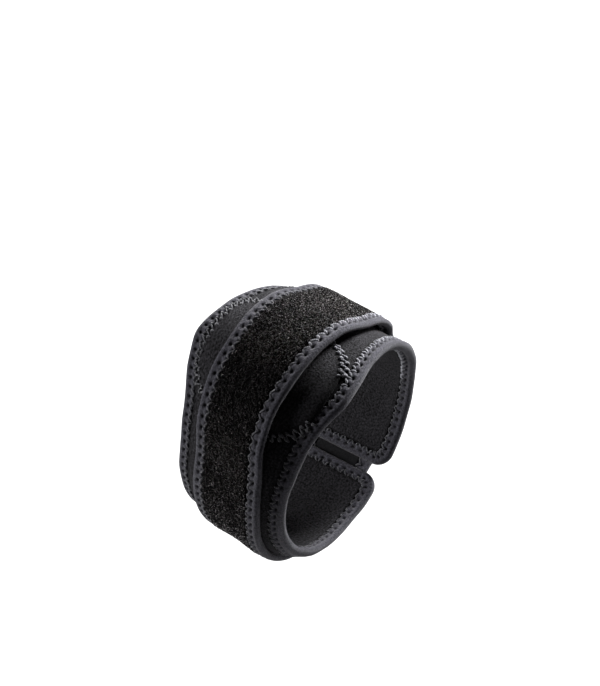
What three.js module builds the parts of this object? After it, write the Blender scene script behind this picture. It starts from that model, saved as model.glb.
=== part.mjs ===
// Tennis elbow strap: a padded neoprene band with a loop-faced strap closed over it, in its round form.
// Lengths are millimetres and angles degrees. X is the axis of the ring, Y points to the back and Z up.
// The origin is the middle of the hollow. Angles run round the ring: 0 is the front
// (-Y), 90 the top, 180 the back and 270 the underside.
import * as THREE from "three";

// The hollow and the band round it
const forearmRadius = 49.4;
const bandThickness = 4.4;
const bandWidth = 55;
const lobeReach = 13; // how much further each edge of the band reaches beside the pad
const bandSwell = 4; // how far the band may stand up between its two edges
const bandSplit = 5; // between the two ends of the band, where they meet behind
const splitFromPad = 170; // degrees round the ring
const bandCorner = 8;

// The pocket that holds the pad, on the outside of the band
const padAngle = 65; // where the middle of the pad lies round the ring
const pocketShift = -1; // along X, from the middle of the band
const pocketHalfLength = 27.5; // round the ring
const pocketMargin = 3; // from the band's binding
const pocketRim = 0.6;
const padHeight = 2.6;
const pocketSquareness = 3; // the exponent of its outline: 2 is an ellipse, and more is squarer
const pocketLean = 9; // how far its elbow side leans to the back
const pocketTaper = 2.2; // how much shorter each half is towards the hand edge
const padFlatness = 5; // the exponent of its dome: 2 is a parabola, and more is flatter on top

// The strap
const strapWidth = 38;
const strapThickness = 3.2; // at its bound edges
const strapStartFromPad = 150; // degrees round the ring to its sewn end
const strapOverlap = 44; // how far the free end runs on over the sewn end
const strapCorner = 12;
const strapRamp = 27; // length over which the free end climbs onto the sewn end
const strapEndSkew = 2; // sideways drift of the free end over the sewn end
const liftReach = 3.2; // the highest that the hand edge of the strap stands off the band
const padRamp = 20; // length over which the strap climbs onto the pad
const pileProud = 0.3; // the loop pile stands this far above the bound edges
const hookThickness = 1.2;
const hookMargin = 2.5; // from the binding to the hook patch
const hookLength = 30;

// The folded tape that binds every edge
const tapeWall = 0.7;
const tapeLeg = 4.5;
const tapeChamfer = 0.9;

// What keeps the pieces apart, and how finely they are faceted
const clearance = 0.35;
const facetClearance = 0.5; // where the facets of two curved pieces don't line up
const stationStep = 8; // degrees
const cornerShares = [0.1, 0.35, 0.65, 1]; // stations in a rounded corner
const cornerTurns = [15, 35, 55, 75]; // degrees
const shoulder = 0.4; // the slope between the thin and the full part of a core
const pocketSides = 28;
const pocketRings = [1, 0.93, 0.82, 0.64, 0.4]; // shares of its half length and half width

// In the tables, fromPad is in degrees round the ring from the middle of the pad, towards the back.
// The edges of the band, as shares of lobeReach beyond half the band's width
const bandOutline = [
  { fromPad: -125, elbow: 0.0, hand: 0.12 },
  { fromPad: -85, elbow: 0.0, hand: 0.12 },
  { fromPad: -65, elbow: 0.0, hand: 0.17 },
  { fromPad: -45, elbow: 0.06, hand: 0.32 },
  { fromPad: -27, elbow: 0.33, hand: 0.48 },
  { fromPad: -13, elbow: 0.74, hand: 0.64 },
  { fromPad: 2, elbow: 1.06, hand: 0.92 },
  { fromPad: 19, elbow: 0.96, hand: 0.82 },
  { fromPad: 35, elbow: 0.76, hand: 0.6 },
  { fromPad: 50, elbow: 0.52, hand: 0.45 },
  { fromPad: 70, elbow: 0.22, hand: 0.42 },
  { fromPad: 95, elbow: 0.0, hand: 0.2 },
  { fromPad: 125, elbow: 0.0, hand: 0.0 },
  { fromPad: 195, elbow: 0.0, hand: 0.0 },
];

// How high the band stands at a fifth, a half and four fifths of its width, as shares of bandSwell
const bandHeights = [
  { fromPad: -155, elbow: 0.35, middle: 0.48, hand: 0.8 },
  { fromPad: -105, elbow: 0.35, middle: 0.5, hand: 0.95 },
  { fromPad: -65, elbow: 0.35, middle: 0.45, hand: 0.6 },
  { fromPad: -20, elbow: 0.35, middle: 0.42, hand: 0.4 },
  { fromPad: 25, elbow: 0.45, middle: 0.45, hand: 0.32 },
  { fromPad: 65, elbow: 0.7, middle: 0.35, hand: -0.25 },
  { fromPad: 90, elbow: 0.45, middle: 0.22, hand: -0.2 },
  { fromPad: 115, elbow: 0.35, middle: 0.3, hand: 0.2 },
  { fromPad: 170, elbow: 0.08, middle: 0.1, hand: 0.08 },
];
const bandKnots = { elbow: 0.2, middle: 0.5, hand: 0.8 };

// The edges of the strap as shares of half its width, and the lift of its hand edge as a share of liftReach
const strapOutline = [
  { fromPad: -125, elbow: 0.86, hand: 0.95, lift: 0.0 },
  { fromPad: -90, elbow: 0.86, hand: 1.05, lift: 0.05 },
  { fromPad: -65, elbow: 0.83, hand: 1.12, lift: 0.3 },
  { fromPad: -45, elbow: 0.81, hand: 1.1, lift: 0.4 },
  { fromPad: -30, elbow: 0.93, hand: 0.98, lift: 0.3 },
  { fromPad: -15, elbow: 1.05, hand: 0.9, lift: 0.1 },
  { fromPad: 0, elbow: 1.1, hand: 0.94, lift: 0.0 },
  { fromPad: 20, elbow: 1.13, hand: 1.0, lift: 0.08 },
  { fromPad: 35, elbow: 1.05, hand: 1.1, lift: 0.12 },
  { fromPad: 50, elbow: 1.0, hand: 1.1, lift: 0.5 },
  { fromPad: 67, elbow: 1.06, hand: 1.02, lift: 0.85 },
  { fromPad: 80, elbow: 1.07, hand: 0.95, lift: 0.8 },
  { fromPad: 90, elbow: 1.1, hand: 0.85, lift: 0.3 },
  { fromPad: 115, elbow: 1.12, hand: 0.78, lift: 0.0 },
  { fromPad: 170, elbow: 1.0, hand: 0.9, lift: 0.0 },
];

// What follows from the sizes above
const millimetresPerDegree = THREE.MathUtils.degToRad(forearmRadius + bandThickness);
const bandLength = 360 - bandSplit / millimetresPerDegree;
const bandStartAngle = padAngle + splitFromPad + bandSplit / 2 / millimetresPerDegree;
const strapStartAngle = padAngle + strapStartFromPad;
const strapLength = 360 + strapOverlap / millimetresPerDegree;
const coreInset = tapeWall + clearance;
const legInset = tapeLeg + clearance;
const pocketHalfWidth = bandWidth / 2 + lobeReach - tapeLeg - pocketMargin;
const pocketRise = facetClearance + pocketRim + padHeight;
const strapTop = strapThickness + pileProud;
const overlapRise = strapTop + facetClearance + hookThickness + clearance;

// A smooth curve between two of four neighbouring values, by their places
function smoothBetween(before, from, to, after, place) {
  const slope = (a, b) => (b.value - a.value) / (b.place - a.place);
  const span = to.place - from.place;
  const t = (place - from.place) / span;
  const start = slope(before, to) * span;
  const end = slope(from, after) * span;
  return (
    from.value * (1 - t) * (1 - t) * (1 + 2 * t) +
    start * t * (1 - t) * (1 - t) +
    to.value * t * t * (3 - 2 * t) -
    end * t * t * (1 - t)
  );
}

// A column of a table whose rows go once round the ring, read at any angle
function around(table, column, angle) {
  const first = table[0].fromPad;
  const place = first + THREE.MathUtils.euclideanModulo(angle - padAngle - first, 360);
  const index = table.findLastIndex((row) => row.fromPad <= place);
  const rowAt = (i) => {
    const turns = Math.floor(i / table.length);
    const row = table[i - turns * table.length];
    return { place: row.fromPad + 360 * turns, value: row[column] };
  };
  return smoothBetween(rowAt(index - 1), rowAt(index), rowAt(index + 1), rowAt(index + 2), place);
}

function onForearm(angle, along, radius) {
  const turn = THREE.MathUtils.degToRad(angle);
  return new THREE.Vector3(along, -radius * Math.cos(turn), radius * Math.sin(turn));
}

function bandEdges(angle) {
  return {
    elbow: -bandWidth / 2 - lobeReach * around(bandOutline, "elbow", angle),
    hand: bandWidth / 2 + lobeReach * around(bandOutline, "hand", angle),
  };
}

// The radius of the band's outer face
function bandTop(angle, along) {
  const { elbow, hand } = bandEdges(angle);
  const place = THREE.MathUtils.clamp((along - elbow) / (hand - elbow), 0, 1);
  const heights = Object.entries(bandKnots).map(([column, knot]) => ({
    place: knot,
    value: around(bandHeights, column, angle),
  }));
  const [low, middle, high] = heights;
  const start = { place: 0, value: 0 };
  const end = { place: 1, value: 0 };
  const knots = [{ place: -low.place, value: -low.value }, start, low, middle, high, end];
  knots.push({ place: 2 - high.place, value: -high.value });
  const index = Math.max(1, knots.slice(0, -2).findLastIndex((knot) => knot.place <= place));
  const share = smoothBetween(knots[index - 1], knots[index], knots[index + 1], knots[index + 2], place);
  return forearmRadius + bandThickness + bandSwell * share;
}

function angleBetween(one, other) {
  return Math.abs(THREE.MathUtils.euclideanModulo(one - other + 180, 360) - 180);
}

// How far the strap stands off the band to clear the pocket
function padRise(angle) {
  const distance = angleBetween(angle, padAngle) * millimetresPerDegree;
  const past = distance - pocketHalfLength - clearance;
  return pocketRise * (1 - THREE.MathUtils.smoothstep(past, 0, padRamp));
}

function strapEdges(run) {
  const angle = strapStartAngle - run;
  const drift = strapEndSkew * THREE.MathUtils.smoothstep(run, 360 - strapRamp, strapLength);
  return {
    elbow: (-strapWidth / 2) * around(strapOutline, "elbow", angle) - drift,
    hand: (strapWidth / 2) * around(strapOutline, "hand", angle) - drift,
  };
}

// The radius of the strap's inner face, at a run of degrees from its sewn end
function strapSeat(run, along) {
  const angle = strapStartAngle - run;
  const { elbow, hand } = strapEdges(run);
  const across = THREE.MathUtils.clamp((along - elbow) / (hand - elbow), 0, 1);
  const lift = liftReach * around(strapOutline, "lift", angle) * across * across;
  const ramp = strapRamp / millimetresPerDegree;
  const climb = overlapRise * THREE.MathUtils.smoothstep(run, 360 - ramp, 360);
  return bandTop(angle, along) + facetClearance + padRise(angle) + Math.max(0, lift) + climb;
}

// A sheet is a long strip that is laid round the ring. run goes along it in degrees, along is a place on X,
// level is the height above its inner face, steps is the number of facets across it and faced is whether another
// layer covers its outer side.
const bandSheet = {
  length: bandLength,
  thickness: bandThickness,
  corner: bandCorner,
  steps: 5,
  faced: false,
  edges: (run) => bandEdges(bandStartAngle + run),
  place: (run, along, level) => {
    const angle = bandStartAngle + run;
    return onForearm(angle, along, bandTop(angle, along) - bandThickness + level);
  },
};
const strapSheet = {
  length: strapLength,
  thickness: strapThickness,
  corner: strapCorner,
  steps: 3,
  faced: true,
  edges: strapEdges,
  place: (run, along, level) => onForearm(strapStartAngle - run, along, strapSeat(run, along) + level),
};

// The two edges of a sheet's outline at a run, once that outline is moved inwards by inset
function insetEdges(sheet, run, inset) {
  const { elbow, hand } = sheet.edges(run);
  const before = sheet.edges(run - 1);
  const after = sheet.edges(run + 1);
  const slant = (a, b) => Math.hypot(1, (b - a) / (2 * millimetresPerDegree));
  const fromEnd = Math.min(run, sheet.length - run) * millimetresPerDegree;
  const corner = sheet.corner - inset;
  const intoCorner = THREE.MathUtils.clamp(corner - (fromEnd - inset), 0, corner);
  const cut = corner - Math.sqrt(corner * corner - intoCorner * intoCorner);
  return {
    elbow: elbow + inset * slant(before.elbow, after.elbow) + cut,
    hand: hand - inset * slant(before.hand, after.hand) - cut,
  };
}

// Runs from one end of a sheet to the other, closer together in its rounded corners
function stations(sheet, inset, extra = []) {
  const corner = sheet.corner;
  const fromEnd = [inset, ...cornerShares.map((share) => share * corner), ...extra];
  const near = [...new Set(fromEnd)].filter((d) => d >= inset).sort((a, b) => a - b);
  const first = near.map((d) => d / millimetresPerDegree);
  const last = first.map((run) => sheet.length - run).reverse();
  const count = Math.round((last[0] - first[first.length - 1]) / stationStep);
  const between = [];
  for (let i = 1; i < count; i++) {
    between.push(THREE.MathUtils.lerp(first[first.length - 1], last[0], i / count));
  }
  return [...first, ...between, ...last];
}

// One closed body through a row of rings with equally many points. An open end is closed by joining the first
// half of its ring to the second half, which runs back over it.
function skin(rings, closed) {
  const size = rings[0].length;
  const positions = rings.flatMap((points) => points.flatMap((point) => point.toArray()));
  const faces = [];
  const last = closed ? rings.length : rings.length - 1;
  for (let i = 0; i < last; i++) {
    const here = i * size;
    const next = ((i + 1) % rings.length) * size;
    for (let j = 0; j < size; j++) {
      const k = (j + 1) % size;
      faces.push(here + j, next + j, next + k, here + j, next + k, here + k);
    }
  }
  if (!closed) {
    const end = (rings.length - 1) * size;
    for (let j = 0; j < size / 2 - 1; j++) {
      const [a, b, c, d] = [j, j + 1, size - 2 - j, size - 1 - j];
      faces.push(a, b, c, a, c, d);
      faces.push(end + a, end + c, end + b, end + a, end + d, end + c);
    }
  }
  return facingOut(positions, faces);
}

// The mesh of these faces, turned so that they face outwards
function facingOut(positions, faces) {
  let volume = 0;
  const corner = (i) => new THREE.Vector3().fromArray(positions, 3 * i);
  for (let i = 0; i < faces.length; i += 3) {
    const [a, b, c] = [faces[i], faces[i + 1], faces[i + 2]].map(corner);
    volume += a.dot(b.cross(c));
  }
  if (volume < 0) faces.reverse();
  const geometry = new THREE.BufferGeometry();
  geometry.setAttribute("position", new THREE.Float32BufferAttribute(positions, 3));
  geometry.setIndex(faces);
  geometry.computeVertexNormals();
  return geometry;
}

function ringOf(sheet, run, profile) {
  return profile.map(([along, level]) => sheet.place(run, along, level));
}

// Points across a face between two places, at one level
function acrossFace(from, to, level, steps) {
  return Array.from({ length: steps + 1 }, (_, i) => [THREE.MathUtils.lerp(from, to, i / steps), level]);
}

// The soft core of a sheet: full between the legs of its binding, and thin where they grip it
function core(sheet) {
  const steps = sheet.steps;
  const low = tapeWall + clearance;
  const high = sheet.thickness - low;
  const runs = stations(sheet, coreInset, [legInset, legInset + shoulder]);
  const rings = runs.map((run) => {
    const rim = insetEdges(sheet, run, coreInset);
    const fromEnd = Math.min(run, sheet.length - run) * millimetresPerDegree;
    const full = fromEnd > legInset + shoulder / 2;
    const outer = insetEdges(sheet, run, legInset);
    const inner = insetEdges(sheet, run, legInset + shoulder);
    const bottom = full ? 0 : low;
    const top = full && !sheet.faced ? sheet.thickness : high;
    return ringOf(sheet, run, [
      [rim.elbow, low],
      [outer.elbow, low],
      ...acrossFace(inner.elbow, inner.hand, bottom, steps),
      [outer.hand, low],
      [rim.hand, low],
      [rim.hand, high],
      [outer.hand, high],
      ...acrossFace(inner.hand, inner.elbow, top, steps),
      [outer.elbow, high],
      [rim.elbow, high],
    ]);
  });
  return skin(rings, false);
}

// A flat layer on a sheet, between two levels and inside its outline by inset, from one run to another
function layer(sheet, runs, inset, bottom, top) {
  const steps = sheet.steps;
  const bevel = (top - bottom) / 2;
  const rings = runs.map((run) => {
    const rim = insetEdges(sheet, run, inset);
    return ringOf(sheet, run, [
      ...acrossFace(rim.elbow, rim.hand, bottom, steps),
      [rim.hand, top - bevel],
      ...acrossFace(rim.hand - bevel, rim.elbow + bevel, top, steps),
      [rim.elbow, top - bevel],
    ]);
  });
  return skin(rings, false);
}

// The folded tape round the whole outline of a sheet: a U that opens inwards
function binding(sheet) {
  const top = sheet.thickness;
  const section = [
    [tapeLeg, top],
    [tapeChamfer, top],
    [0, top - tapeChamfer],
    [0, tapeChamfer],
    [tapeChamfer, 0],
    [tapeLeg, 0],
    [tapeLeg, tapeWall],
    [tapeWall, tapeWall],
    [tapeWall, top - tapeWall],
    [tapeLeg, top - tapeWall],
  ];
  const rings = crossings(sheet).map((crossing) =>
    section.map(([inwards, level]) => {
      const { run, along } = crossing(inwards);
      return sheet.place(run, along, level);
    }),
  );
  return skin(rings, true);
}

// The ways in from a sheet's outline, once round it: from each one, the place that lies inwards by a distance
function crossings(sheet) {
  const { length, corner, steps } = sheet;
  const side = (name, run) => (inwards) => ({ run, along: insetEdges(sheet, run, inwards)[name] });
  const inFrom = (endRun, distance) => endRun + (endRun === 0 ? distance : -distance) / millimetresPerDegree;
  const round = (name, endRun, degrees) => (inwards) => {
    const turn = THREE.MathUtils.degToRad(degrees);
    const run = inFrom(endRun, corner - (corner - inwards) * Math.cos(turn));
    const cut = corner - (corner - inwards) * Math.sin(turn);
    return { run, along: sheet.edges(run)[name] + (name === "elbow" ? cut : -cut) };
  };
  const across = (endRun, share) => (inwards) => {
    const run = inFrom(endRun, inwards);
    const { elbow, hand } = sheet.edges(run);
    return { run, along: THREE.MathUtils.lerp(elbow + corner, hand - corner, share) };
  };
  const arc = cornerTurns;
  const back = [...arc].reverse();
  const shares = Array.from({ length: steps + 1 }, (_, i) => i / steps);
  const cornerRun = corner / millimetresPerDegree;
  const runs = stations(sheet, 0).filter((run) => run >= cornerRun && run <= length - cornerRun);
  return [
    ...arc.map((degrees) => round("elbow", 0, degrees)),
    ...runs.map((run) => side("elbow", run)),
    ...back.map((degrees) => round("elbow", length, degrees)),
    ...shares.map((share) => across(length, share)),
    ...arc.map((degrees) => round("hand", length, degrees)),
    ...[...runs].reverse().map((run) => side("hand", run)),
    ...back.map((degrees) => round("hand", 0, degrees)),
    ...[...shares].reverse().map((share) => across(0, share)),
  ];
}

// The padded pocket: a low dome with a thin rim, laid on the outer face of the band
function pocket() {
  const sides = pocketSides;
  const shares = pocketRings;
  const place = (share, turn, level) => {
    const bend = (value) => Math.sign(value) * Math.abs(value) ** (2 / pocketSquareness);
    const across = share * bend(Math.sin(turn));
    const lean = pocketLean * Math.min(across, 0) ** 2;
    const halfLength = pocketHalfLength - pocketTaper * Math.max(across, 0);
    const angle = padAngle + (share * halfLength * bend(Math.cos(turn)) + lean) / millimetresPerDegree;
    const along = pocketShift + pocketHalfWidth * across;
    return onForearm(angle, along, bandTop(angle, along) + facetClearance + level);
  };
  const dome = (share) => pocketRim + padHeight * (1 - share ** padFlatness);
  const ring = (share, level) =>
    Array.from({ length: sides }, (_, i) => place(share, (2 * Math.PI * i) / sides, level));
  const rings = [
    ...shares.map((share) => ring(share, 0)).reverse(),
    ...shares.map((share) => ring(share, dome(share))),
  ];
  const positions = rings.flatMap((points) => points.flatMap((point) => point.toArray()));
  const faces = [];
  const quad = (a, b, c, d) => faces.push(a, b, c, a, c, d);
  for (let i = 0; i < rings.length - 1; i++) {
    for (let j = 0; j < sides; j++) {
      const k = (j + 1) % sides;
      quad(i * sides + j, i * sides + k, (i + 1) * sides + k, (i + 1) * sides + j);
    }
  }
  const centres = [place(0, 0, 0), place(0, 0, dome(0))];
  positions.push(...centres.flatMap((point) => point.toArray()));
  const bottomCentre = rings.length * sides;
  const topRing = (rings.length - 1) * sides;
  for (let j = 0; j < sides; j++) {
    const k = (j + 1) % sides;
    faces.push(bottomCentre, k, j);
    faces.push(bottomCentre + 1, topRing + j, topRing + k);
  }
  return facingOut(positions, faces);
}

// The loop pile on the strap's outer face
function loopFacing() {
  const runs = stations(strapSheet, legInset);
  const bottom = strapThickness - tapeWall;
  return layer(strapSheet, runs, legInset, bottom, strapTop);
}

// The hook patch under the free end, which grips the pile of the sewn end
function hookPatch() {
  const inset = legInset + hookMargin;
  const start = strapLength - (inset + hookLength) / millimetresPerDegree;
  const runs = stations(strapSheet, inset).filter((run) => run > start);
  const top = -clearance;
  return layer(strapSheet, runs, inset, top - hookThickness, top);
}

const cloth = (color, roughness) => new THREE.MeshStandardMaterial({ color, roughness, metalness: 0 });
const jersey = cloth(0x2b2b2e, 0.8);
const tape = cloth(0x46474f, 0.7);
const pile = cloth(0x151516, 0.95);
const hooks = cloth(0x1a1a1b, 0.6);

function piece(name, geometry, material) {
  const mesh = new THREE.Mesh(geometry, material);
  mesh.name = name;
  return mesh;
}

const elbowStrap = new THREE.Group();
elbowStrap.add(
  piece("band", core(bandSheet), jersey),
  piece("band_binding", binding(bandSheet), tape),
  piece("pad_pocket", pocket(), jersey),
  piece("strap_backing", core(strapSheet), jersey),
  piece("strap_binding", binding(strapSheet), tape),
  piece("loop_facing", loopFacing(), pile),
  piece("hook_patch", hookPatch(), hooks),
);

export default elbowStrap;
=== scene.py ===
# %% [markdown]
# # A tennis elbow strap
#
# A band of padded neoprene closes into a ring, and a strap with a loop face closes over it. Both are flat
# strips whose edges are wrapped in a folded tape and sewn with a wide zigzag. This lesson lays each strip
# out as a flat pattern first, and then carries the pattern round the ring with one formula, so that cloth,
# tape and thread always agree about where they are.

import math

import bmesh
import bpy
import numpy as np
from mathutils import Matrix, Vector


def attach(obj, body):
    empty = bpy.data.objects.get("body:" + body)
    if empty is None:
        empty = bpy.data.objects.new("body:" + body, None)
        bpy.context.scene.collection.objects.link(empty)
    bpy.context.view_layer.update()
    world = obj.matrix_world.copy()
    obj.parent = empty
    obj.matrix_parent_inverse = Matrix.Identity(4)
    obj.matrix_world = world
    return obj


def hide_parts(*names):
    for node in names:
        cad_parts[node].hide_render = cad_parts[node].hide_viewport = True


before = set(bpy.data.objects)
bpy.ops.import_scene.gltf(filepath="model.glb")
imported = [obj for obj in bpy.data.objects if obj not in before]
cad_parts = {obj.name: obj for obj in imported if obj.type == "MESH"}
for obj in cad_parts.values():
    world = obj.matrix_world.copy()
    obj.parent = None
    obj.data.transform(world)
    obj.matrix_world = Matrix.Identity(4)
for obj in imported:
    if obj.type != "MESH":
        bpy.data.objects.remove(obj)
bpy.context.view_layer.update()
print("fixed frame:", sorted(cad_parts))

# %% [markdown]
# ## Sizes
#
# The sizes are in millimetres and the angles in degrees. X is the axis of the ring, from the elbow edge of
# the strips to their hand edge. Angles go round the ring: 0 is the front, 90 the top, 180 the back. The pad
# lies a little in front of the top.

# %% The sizes of the band, its pad and its strap
MM = 0.001
HOLLOW_RADIUS = 49.4
BAND_THICKNESS = 4.4
BAND_WIDTH = 55.0
LOBE_REACH = 13.0
BAND_SWELL = 4.0
BAND_SPLIT = 5.0
BAND_CORNER = 8.0
PAD_ANGLE = 65.0
SPLIT_ANGLE = PAD_ANGLE + 170
STRAP_START_ANGLE = PAD_ANGLE + 150
POCKET_SHIFT = -1.0
POCKET_HALF_LENGTH = 27.5
POCKET_HALF_WIDTH = 33.0
POCKET_SQUARENESS = 3.0
POCKET_LEAN = 9.0
POCKET_TAPER = 2.2
POCKET_RIM = 0.6
PAD_HEIGHT = 2.6
PAD_FLATNESS = 5.0
STRAP_WIDTH = 38.0
STRAP_THICKNESS = 3.2
STRAP_OVERLAP = 44.0
STRAP_CORNER = 12.0
STRAP_RAMP = 27.0
STRAP_END_SKEW = 2.0
LIFT_REACH = 3.2
PAD_RAMP = 20.0
HOOK_THICKNESS = 1.2
LAYER_GAP = 0.5
POCKET_SEAT = LAYER_GAP + 0.6 * POCKET_RIM  # how high the pocket's rim lies above the band
TAPE_LEG = 5.8
PER_DEGREE = math.radians(HOLLOW_RADIUS + BAND_THICKNESS)
print("one degree round the band is", round(PER_DEGREE, 3), "mm")

# %% [markdown]
# ## The pattern tables
#
# Each table goes once round the ring. Its first column is the distance in degrees from the middle of the
# pad, towards the back, and the others are shares of a named size. A smooth curve passes through the rows.

# %% Tables with named columns


def table(columns, *rows):
    """A table as a dictionary with one array for each named column."""
    return dict(zip(columns.split(), np.array(rows, float).T))


BAND_OUTLINE = table(
    "from_pad elbow hand",
    (-125, 0.00, 0.12),
    (-85, 0.00, 0.12),
    (-65, 0.00, 0.17),
    (-45, 0.06, 0.32),
    (-27, 0.33, 0.48),
    (-13, 0.74, 0.64),
    (2, 1.06, 0.92),
    (19, 0.96, 0.82),
    (35, 0.76, 0.60),
    (50, 0.52, 0.45),
    (70, 0.22, 0.42),
    (95, 0.00, 0.20),
    (125, 0.00, 0.00),
    (195, 0.00, 0.00),
)
BAND_HEIGHTS = table(
    "from_pad elbow middle hand",
    (-155, 0.35, 0.48, 0.80),
    (-105, 0.35, 0.50, 0.95),
    (-65, 0.35, 0.45, 0.60),
    (-20, 0.35, 0.42, 0.40),
    (25, 0.45, 0.45, 0.32),
    (65, 0.70, 0.35, -0.25),
    (90, 0.45, 0.22, -0.20),
    (115, 0.35, 0.30, 0.20),
    (170, 0.08, 0.10, 0.08),
)
STRAP_OUTLINE = table(
    "from_pad elbow hand lift",
    (-125, 0.86, 0.95, 0.00),
    (-90, 0.86, 1.05, 0.05),
    (-65, 0.83, 1.12, 0.30),
    (-45, 0.81, 1.10, 0.40),
    (-30, 0.93, 0.98, 0.30),
    (-15, 1.05, 0.90, 0.10),
    (0, 1.10, 0.94, 0.00),
    (20, 1.13, 1.00, 0.08),
    (35, 1.05, 1.10, 0.12),
    (50, 1.00, 1.10, 0.50),
    (67, 1.06, 1.02, 0.85),
    (80, 1.07, 0.95, 0.80),
    (90, 1.10, 0.85, 0.30),
    (115, 1.12, 0.78, 0.00),
    (170, 1.00, 0.90, 0.00),
)
print("rows:", len(BAND_OUTLINE["hand"]), len(BAND_HEIGHTS["hand"]), len(STRAP_OUTLINE["hand"]))

# %% A smooth curve through the rows


def smooth_between(places, values, place):
    """The cubic through the middle two of four values that leaves each with the slope between its
    neighbours."""
    (p0, p1, p2, p3), (v0, v1, v2, v3) = places, values
    span = p2 - p1
    t = (place - p1) / span
    start = (v2 - v0) / (p2 - p0) * span
    end = (v3 - v1) / (p3 - p1) * span
    rising = t * (1 - t) * (1 - t)
    falling = t * t * (1 - t)
    return v1 * (1 - t) ** 2 * (1 + 2 * t) + start * rising + v2 * t * t * (3 - 2 * t) - end * falling


def around(rows, column, angle):
    """A column of a table that goes once round, read at any angles."""
    first = rows["from_pad"]
    places = np.concatenate([first[-1:] - 360, first, first[:2] + 360])
    values = np.concatenate([rows[column][-1:], rows[column], rows[column][:2]])
    place = first[0] + np.mod(angle - PAD_ANGLE - first[0], 360)
    i = np.searchsorted(first, place, side="right") - 1
    return smooth_between([places[i + k] for k in range(4)], [values[i + k] for k in range(4)], place)


def smoothstep(x, low, high):
    """0 below low, 1 above high, and an S between them."""
    t = np.clip((x - low) / (high - low), 0, 1)
    return t * t * (3 - 2 * t)


def ripple(x, wavelength, seed):
    """An uneven wave between about -1 and 1: three sines with seeded phases and unlike wavelengths."""
    phases = np.random.default_rng(seed).uniform(0, 2 * np.pi, 3)
    waves = [np.sin(2 * np.pi * x / (wavelength * k) + p) for k, p in zip((1.0, 1.63, 0.58), phases)]
    return (waves[0] + 0.7 * waves[1] + 0.4 * waves[2]) / 2.1


hand_reach = float(around(BAND_OUTLINE, "hand", PAD_ANGLE) * LOBE_REACH)
print("the band's hand edge beside the pad:", round(hand_reach, 1))

# %% [markdown]
# ## From the flat pattern to the ring
#
# A place on a strip is a run along it, a place along X, and a level above the strip's inner face. The band
# is a little barrel-shaped. The strap lies on the band, climbs over the pad, and at its free end climbs
# over its own start. These functions take whole arrays, so that a mesh of any fineness costs one call.

# %% The band's and the strap's surfaces


def on_ring(angle, along, radius):
    """Points at an angle round the ring, a place along X and a distance from the ring's axis."""
    turn = np.radians(angle)
    return np.stack(np.broadcast_arrays(along, -radius * np.cos(turn), radius * np.sin(turn)), axis=-1)


def band_edges(angle):
    """Where the band's elbow edge and hand edge lie along X."""
    elbow = -BAND_WIDTH / 2 - LOBE_REACH * around(BAND_OUTLINE, "elbow", angle)
    hand = BAND_WIDTH / 2 + LOBE_REACH * around(BAND_OUTLINE, "hand", angle)
    return elbow + 0.25 * ripple(angle, 23, 3), hand + 0.25 * ripple(angle, 27, 4)


def band_top(angle, along):
    """The radius of the band's outer face: a smooth curve across its width, through its three heights."""
    angle, along = np.broadcast_arrays(angle, along)
    elbow, hand = band_edges(angle)
    place = np.clip((along - elbow) / (hand - elbow), 0, 1)
    low, middle, high = (around(BAND_HEIGHTS, name, angle) for name in ("elbow", "middle", "hand"))
    edge = np.zeros_like(low)
    places = np.array([-0.2, 0, 0.2, 0.5, 0.8, 1, 1.2])
    values = np.stack([-low, edge, low, middle, high, edge, -high])
    i = np.clip(np.searchsorted(places, place, side="right") - 1, 1, 4)
    near = [np.take_along_axis(values, (i + k)[None], axis=0)[0] for k in (-1, 0, 1, 2)]
    share = smooth_between([places[i + k] for k in (-1, 0, 1, 2)], near, place)
    return HOLLOW_RADIUS + BAND_THICKNESS + BAND_SWELL * share


def strap_angle(run):
    """The angle round the ring at a run from the strap's sewn end."""
    return STRAP_START_ANGLE - run / PER_DEGREE


def strap_edges(run):
    """Where the strap's elbow edge and hand edge lie along X."""
    angle = strap_angle(run)
    drift = STRAP_END_SKEW * smoothstep(run, 360 * PER_DEGREE - STRAP_RAMP, STRAP_LENGTH)
    elbow = -STRAP_WIDTH / 2 * around(STRAP_OUTLINE, "elbow", angle) - drift
    hand = STRAP_WIDTH / 2 * around(STRAP_OUTLINE, "hand", angle) - drift
    return elbow + 0.2 * ripple(run, 31, 5), hand + 0.2 * ripple(run, 26, 6)


def pad_rise(angle):
    """How far the strap stands off the band, for the pocket under it."""
    distance = np.abs(np.mod(angle - PAD_ANGLE + 180, 360) - 180) * PER_DEGREE
    past = distance - POCKET_HALF_LENGTH - 0.35
    return (LAYER_GAP + POCKET_RIM + PAD_HEIGHT) * (1 - smoothstep(past, 0, PAD_RAMP))


def strap_seat(run, along):
    """The radius of the strap's inner face: the band's, plus the pad's, the hand edge's lift and the
    overlap."""
    run, along = np.broadcast_arrays(run, along)
    angle = strap_angle(run)
    elbow, hand = strap_edges(run)
    across = np.clip((along - elbow) / (hand - elbow), 0, 1)
    lift = LIFT_REACH * np.maximum(0, around(STRAP_OUTLINE, "lift", angle)) * across**2
    climb = OVERLAP_RISE * smoothstep(run, 360 * PER_DEGREE - STRAP_RAMP, 360 * PER_DEGREE)
    return band_top(angle, along) + LAYER_GAP + pad_rise(angle) + lift + climb


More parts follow.
